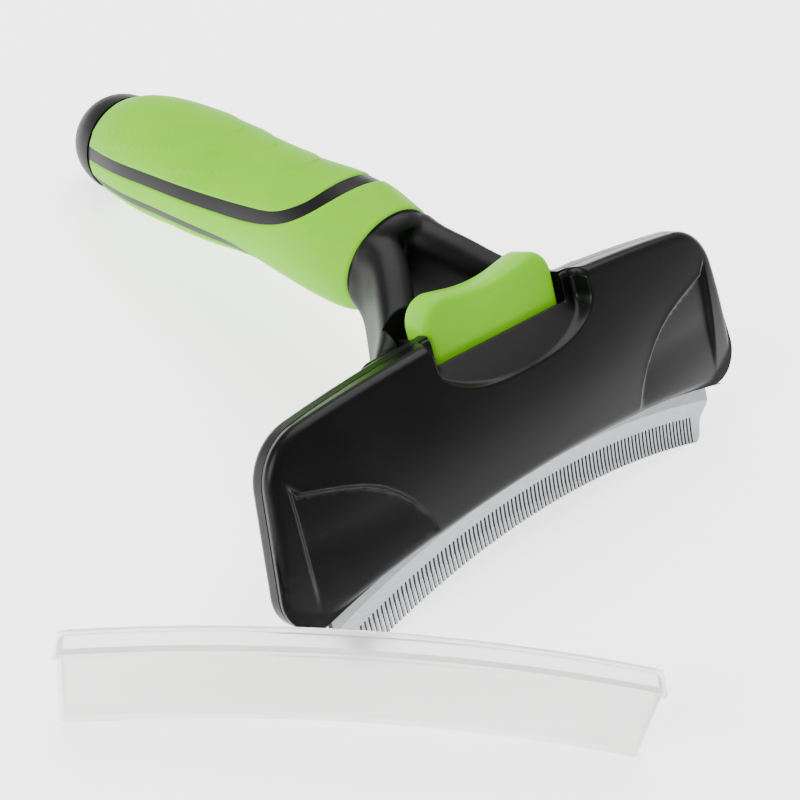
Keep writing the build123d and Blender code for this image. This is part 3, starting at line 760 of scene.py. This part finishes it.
def cut_levels(params, faces, values, levels):
    """Splits triangles where a field on the points passes each level."""
    params, values = list(map(tuple, params)), list(values)
    for level in levels:
        out = []
        made = {}

        def crossing(a, b):
            key = (min(a, b), max(a, b))
            if key not in made:
                share = (level - values[a]) / (values[b] - values[a])
                start, end = np.array(params[a]), np.array(params[b])
                params.append(tuple(start + (end - start) * share))
                values.append(level)
                made[key] = len(params) - 1
            return made[key]

        for face in faces:
            over = any(values[v] > level + ON_LEVEL for v in face)
            under = any(values[v] < level - ON_LEVEL for v in face)
            out += split_face(face, values, level, crossing) if over and under else [face]
        faces = out
    return np.array(params), faces, np.array(values)


MEAN_RADIUS = 13.5


def grip_grid(y0, y1, a0, a1, step):
    """Triangulated patch of the grip in distance and angle."""
    rows = int((y1 - y0) / step) + 1
    columns = int((a1 - a0) * MEAN_RADIUS / step) + 1
    params, faces = [], []
    for i in range(rows + 1):
        for k in range(columns + 1):
            params.append((y0 + (y1 - y0) * i / rows, a0 + (a1 - a0) * k / columns))
    for i in range(rows):
        for k in range(columns):
            a = i * (columns + 1) + k
            b, c, d = a + 1, a + columns + 2, a + columns + 1
            faces += [(a, b, c), (a, c, d)]
    return np.array(params), faces


NEAR_ZERO = 1e-6
LEVELS = (0.0, 0.07, 0.2, 0.4, 0.7, 1.1)
PAD_ROLL, PAD_DEPTH, PAD_STEP, FINE_STEP = 0.9, 1.6, 0.9, 0.5
STEP_HEIGHT, STEP_LEAD, STEP_WIDTH, STEP_FEATHER = 0.30, 0.35, 0.7, 7.0
STEP_SWEEP, STEP_BEND = 32.0, 2.2
# where each moulded step crosses the top, and the turn, in degrees, that sets it
# back by STEP_SWEEP
FEATHERED_STEPS = ((103.0, 50.0), (92.0, 57.0), (79.0, 64.0))
STEP_LIMIT, STEP_LIMIT_FADE = 75.0, 15.0


def embossing(y, angle):
    """Low feathered steps moulded into the top of the grip."""
    lift = np.zeros_like(y)
    turn = np.degrees(np.abs(angle))
    for start, spread in FEATHERED_STEPS:
        gap = y - (start + STEP_SWEEP * (turn / spread) ** STEP_BEND)
        feather = np.exp(-np.clip(gap, 0, None) / STEP_FEATHER)
        lift += STEP_HEIGHT * smooth_step((gap + STEP_LEAD) / STEP_WIDTH) * feather
    return lift * smooth_step((STEP_LIMIT - turn) / STEP_LIMIT_FADE)


def soft_piece(name, node, tests, y0, a0, a1, pattern=False, wrap=False):
    """One overmoulded zone of the grip, with rolled edges and a back face."""
    params, faces = grip_grid(y0, PAD_END, a0, a1, FINE_STEP if pattern else PAD_STEP)
    points = grip_points(params[:, 0], params[:, 1], 0.0)
    gaps = [test(points) for test in tests] + [PAD_END - params[:, 0]]
    if wrap:
        gaps.append(params[:, 0] - y0)
    values = np.min(np.stack(gaps), axis=0)
    params, faces, values = cut_levels(params, faces, values, LEVELS)
    keep = [f for f in faces if min(values[v] for v in f) > -NEAR_ZERO]
    used = sorted({v for f in keep for v in f})
    order = {v: k for k, v in enumerate(used)}
    faces = [[order[v] for v in f] for f in keep]
    params, values = params[used], values[used]
    lift = -roll_off(values, PAD_ROLL)
    if pattern:
        lift = lift + embossing(params[:, 0], params[:, 1])
    top = grip_points(params[:, 0], params[:, 1], lift)
    under = grip_points(params[:, 0], params[:, 1], -PAD_DEPTH)
    seam = set()
    if wrap:
        on_seam = np.abs(np.abs(params[:, 1]) - math.pi) < NEAR_ZERO
        seam = set(np.flatnonzero(on_seam).tolist())
    points, solid = closed_shell(top, under, faces, seam)
    points = floor_points(points[:, 0], points[:, 1], points[:, 2])
    add_piece(name, points, [tuple(reversed(f)) for f in solid], GREEN_SOFT, "tool",
              [node])


top_field = field(TOP_EDGE, 1)
upper_field = field(SIDE_UPPER_EDGE, -1)
lower_field = field(SIDE_LOWER_EDGE, 1)
bottom_field = field(BOTTOM_EDGE, -1)
soft_piece("grip_top", "grip_top_pad", [top_field], y0=64.0, a0=-1.75, a1=1.75, pattern=True)
soft_piece("grip_bottom", "grip_bottom_pad", [bottom_field], y0=78.0, a0=1.6,
           a1=2 * math.pi - 1.6)
soft_piece("grip_collar", "grip_side_collar", [upper_field, lower_field],
           y0=STATIONS[0, 0], a0=-math.pi, a1=math.pi, wrap=True)


# ---------------------------------------------------------- core and neck
CORE_DROP = 0.3
HOUSING_HALF, HOUSING_BACK = 19.2, -11.3
FORK_VOXEL, FORK_SMOOTHING, FORK_GAP, FOOT_GAP = 0.5, 10, 0.1, 0.05
CORE_AROUND, CORE_ALONG, ARM_RINGS, NECK_AROUND = 96, 120, 28, 64
FOOT_SECTION, FOOT_X, FOOT_Q, FOOT_W = (11.4, 23.8, 3.4), 24.4, 36.5, -7.0
# arm sections: side, back, up, then width, height and corner radius
ARM_SECTIONS = (
    (5.6, 55.2, 37.6, 10.6, 17.6, 5.0), (6.0, 51.0, 36.6, 10.0, 18.8, 4.6),
    (8.8, 45.6, 34.8, 9.8, 19.8, 4.2), (13.4, 38.6, 32.0, 10.0, 20.4, 4.0),
    (19.6, 32.8, 29.6, 10.6, 21.4, 3.6),
)
# neck sections: back, up, then half width and half height
NECK_SECTIONS = (
    (57.0, 37.1, 11.2, 11.2), (55.6, 37.45, 11.3, 11.3),
    (54.0, 37.3, 11.1, 11.0), (52.2, 37.1, 9.9, 10.0),
)


def tube(rings):
    """Faces of a closed tube through rings of points."""
    count = len(rings[0])
    faces = []
    for level in range(len(rings) - 1):
        low, high = level * count, (level + 1) * count
        for k in range(count):
            n = (k + 1) % count
            faces.append((low + k, low + n, high + n, high + k))
    faces.append(tuple(range(count))[::-1])
    faces.append(tuple((len(rings) - 1) * count + k for k in range(count)))
    return np.concatenate(rings), faces


def make_core():
    """Hard core of the grip, seen as the dark bands between soft zones."""
    turn = np.linspace(0, 2 * math.pi, CORE_AROUND, endpoint=False)
    rings = []
    for y in np.linspace(STATIONS[0, 0] - 0.2, STATIONS[-1, 0], CORE_ALONG):
        points = grip_points(np.full(len(turn), y), turn, -CORE_DROP)
        rings.append(floor_points(points[:, 0], points[:, 1], points[:, 2]))
    points, faces = tube(rings)
    add_piece("grip_core", points, faces, CORE_BLACK, "tool", ["handle_core"])


def rounded_section(width, height, corner):
    """Rectangle with rounded corners, centred on its own middle."""
    box = [(-width / 2, -height / 2), (width / 2, -height / 2),
           (width / 2, height / 2), (-width / 2, height / 2)]
    return rounded_corners(box, [corner] * 4, 8)


def arm_rings(side):
    """Sections of one neck arm, from the collar to its foot on the head."""
    rings = []
    for x, y, z, width, height, corner in ARM_SECTIONS:
        flat = rounded_section(width, height, corner)
        rings.append(floor_points(side * (x + flat[:, 0]), np.full(len(flat), y),
                                  z + flat[:, 1]))
    flat = rounded_section(*FOOT_SECTION)
    rings.append(head_points(side * (FOOT_X + flat[:, 0]), FOOT_Q + flat[:, 1],
                             np.full(len(flat), FOOT_W)))
    keys = np.cumsum([0] + [np.linalg.norm(b.mean(0) - a.mean(0))
                            for a, b in zip(rings, rings[1:])])
    stack = np.stack(rings)
    return [blend_rings(stack, keys, at) for at in np.linspace(0, keys[-1], ARM_RINGS)]


def blend_rings(stack, keys, at):
    """Section between the given ones, by a smooth curve through each point."""
    k = int(np.clip(np.searchsorted(keys, at) - 1, 0, len(keys) - 2))
    share = (at - keys[k]) / (keys[k + 1] - keys[k])
    p0, p1, p2, p3 = (stack[int(np.clip(k + d, 0, len(keys) - 1))] for d in (-1, 0, 1, 2))
    return 0.5 * (2 * p1 + (p2 - p0) * share + (2 * p0 - 5 * p1 + 4 * p2 - p3) * share ** 2
                  + (3 * p1 - p0 - 3 * p2 + p3) * share ** 3)


def neck_rings():
    """Short cone that closes the front of the grip."""
    turn = np.linspace(0, 2 * math.pi, NECK_AROUND, endpoint=False)
    rings = []
    for y, z, wide, tall in NECK_SECTIONS:
        rings.append(floor_points(wide * np.cos(turn), np.full(len(turn), y),
                                  z + tall * np.sin(turn)))
    return rings


def make_fork():
    """Both arms grown out of the neck and blended where they part."""
    points, faces = [], []
    for rings in (arm_rings(1), arm_rings(-1), neck_rings()):
        some, more = tube(rings)
        faces += [tuple(len(points) + v for v in face) for face in more]
        points += [tuple(p) for p in some]
    fork = add_piece("neck_fork", points, faces, CORE_BLACK, "tool", ())
    merge = fork.modifiers.new("merge", "REMESH")
    merge.mode = "VOXEL"
    merge.voxel_size = FORK_VOXEL * MM
    soften_step = fork.modifiers.new("soften", "SMOOTH")
    soften_step.factor = 0.5
    soften_step.iterations = FORK_SMOOTHING
    view = bpy.context.evaluated_depsgraph_get()
    blended = bpy.data.meshes.new_from_object(fork.evaluated_get(view))
    fork.modifiers.clear()
    fork.data = blended
    blended.polygons.foreach_set("use_smooth", [True] * len(blended.polygons))
    trim_to_head(blended)


def trim_to_head(mesh):
    """Flattens the fork where it meets the head and the housing behind it."""
    for vertex in mesh.vertices:
        offset = vertex.co - HEAD_ORIGIN
        w = offset.dot(W_AXIS)
        beside_housing = abs(offset.x) < (HOUSING_HALF + FORK_GAP) * MM
        limit = (HOUSING_BACK - FORK_GAP) * MM if beside_housing else (FOOT_W - FOOT_GAP) * MM
        if w > limit:
            vertex.co += (limit - w) * W_AXIS


make_core()
make_fork()


# ---------------------------------------------------------------- springs
SPRING_X, SPRING_W, SPRING_LOW, SPRING_TOP = 10.0, -5.2, 19.5, 33.0
COIL_RADIUS, WIRE_RADIUS, COIL_TURNS, CLOSED_RISE, PRESS_TRAVEL = 2.1, 0.25, 8, 0.56, 7.5
STEPS_PER_TURN, WIRE_SIDES = 28, 8


def make_spring(side, node):
    """Closed-end return spring, built at its resting length."""
    rise = SPRING_TOP - SPRING_LOW - 2 * WIRE_RADIUS
    turn = np.linspace(0, COIL_TURNS, COIL_TURNS * STEPS_PER_TURN + 1)
    pitch = (rise - 2 * CLOSED_RISE) / (COIL_TURNS - 2)
    climb = np.minimum(turn, 1) * CLOSED_RISE + np.clip(turn - 1, 0, COIL_TURNS - 2) * pitch
    climb += np.maximum(turn - COIL_TURNS + 1, 0) * CLOSED_RISE
    angle = 2 * math.pi * turn
    centre = np.stack([COIL_RADIUS * np.cos(angle), climb, COIL_RADIUS * np.sin(angle)], axis=1)
    run = np.gradient(centre, axis=0)
    run /= np.linalg.norm(run, axis=1)[:, None]
    out = np.stack([np.cos(angle), np.zeros_like(angle), np.sin(angle)], axis=1)
    up = np.cross(run, out)
    rings = []
    for k in range(len(turn)):
        spin = np.linspace(0, 2 * math.pi, WIRE_SIDES, endpoint=False)[:, None]
        wire = centre[k] + WIRE_RADIUS * (np.cos(spin) * out[k] + np.sin(spin) * up[k])
        rings.append(head_points(side * SPRING_X + wire[:, 0],
                                 SPRING_LOW + WIRE_RADIUS + wire[:, 1], SPRING_W + wire[:, 2]))
    points, faces = tube(rings)
    coil = add_piece(node + "_coil", points, faces, SCREW_STEEL, "tool", [node])
    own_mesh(coil)


make_spring(-1, "spring_left")
make_spring(1, "spring_right")


# ------------------------------------------------------- floor and lights
def make_floor():
    """Plain pale floor that glows a little, as the base of a light tent does."""
    mesh = bpy.data.meshes.new("floor")
    half = 3.0
    mesh.from_pydata(
        [(-half, -half, 0), (half, -half, 0), (half, half, 0), (-half, half, 0)],
        [], [(0, 1, 2, 3)])
    floor = bpy.data.objects.new("floor", mesh)
    bpy.context.scene.collection.objects.link(floor)
    material, _, _, shader = new_material("pale_floor")
    shader.inputs["Base Color"].default_value = (0.94, 0.94, 0.94, 1)
    shader.inputs["Roughness"].default_value = 0.9
    shader.inputs["Emission Color"].default_value = (1, 1, 1, 1)
    shader.inputs["Emission Strength"].default_value = 2.1
    mesh.materials.append(material)


def area_light(name, location, target, size, power):
    """Soft panel that faces its target."""
    light = bpy.data.lights.new(name, "AREA")
    light.shape = "RECTANGLE"
    light.size, light.size_y = size
    light.energy = power
    lamp = bpy.data.objects.new(name, light)
    bpy.context.scene.collection.objects.link(lamp)
    lamp.location = location
    lamp.rotation_euler = (Vector(target) - Vector(location)).to_track_quat("-Z", "Y").to_euler()


def set_world():
    """Even white surroundings."""
    world = bpy.data.worlds.new("studio")
    bpy.context.scene.world = world
    world.use_nodes = True
    background = world.node_tree.nodes["Background"]
    background.inputs["Color"].default_value = (1, 1, 1, 1)
    background.inputs["Strength"].default_value = 0.7


make_floor()
set_world()
area_light("top_panel", (0.30, 0.22, 0.75), (0, 0, 0.02), size=(0.9, 0.8), power=11)
area_light("side_panel", (-0.75, 0.15, 0.45), (0, 0, 0.02), size=(0.5, 0.6), power=8)


# ----------------------------------------------------------------- camera
AZIMUTH, ELEVATION, ROLL = -48.62, 41.89, 9.43
LENS, SENSOR = 64.874, 36
CAMERA_PLACE = (-174.51, 127.54, 201.42)


def make_camera():
    """Camera at the viewing angle of the photograph, its right side tipped up."""
    azimuth, elevation, roll = (math.radians(turn) for turn in (AZIMUTH, ELEVATION, ROLL))
    back = Vector((
        math.sin(azimuth) * math.cos(elevation),
        -math.cos(azimuth) * math.cos(elevation),
        math.sin(elevation)))
    right = Vector((0, 0, 1)).cross(back).normalized()
    up = back.cross(right)
    tilted_right = math.cos(roll) * right + math.sin(roll) * up
    tilted_up = back.cross(tilted_right)
    data = bpy.data.cameras.new("camera")
    data.lens = LENS
    data.sensor_width = SENSOR
    camera = bpy.data.objects.new("camera", data)
    bpy.context.scene.collection.objects.link(camera)
    turn = Matrix((tilted_right, tilted_up, back)).transposed().to_4x4()
    place = on_head(*CAMERA_PLACE)
    camera.matrix_world = Matrix.Translation(place) @ turn
    data.clip_start = 0.01
    data.clip_end = 20
    bpy.context.scene.camera = camera


make_camera()
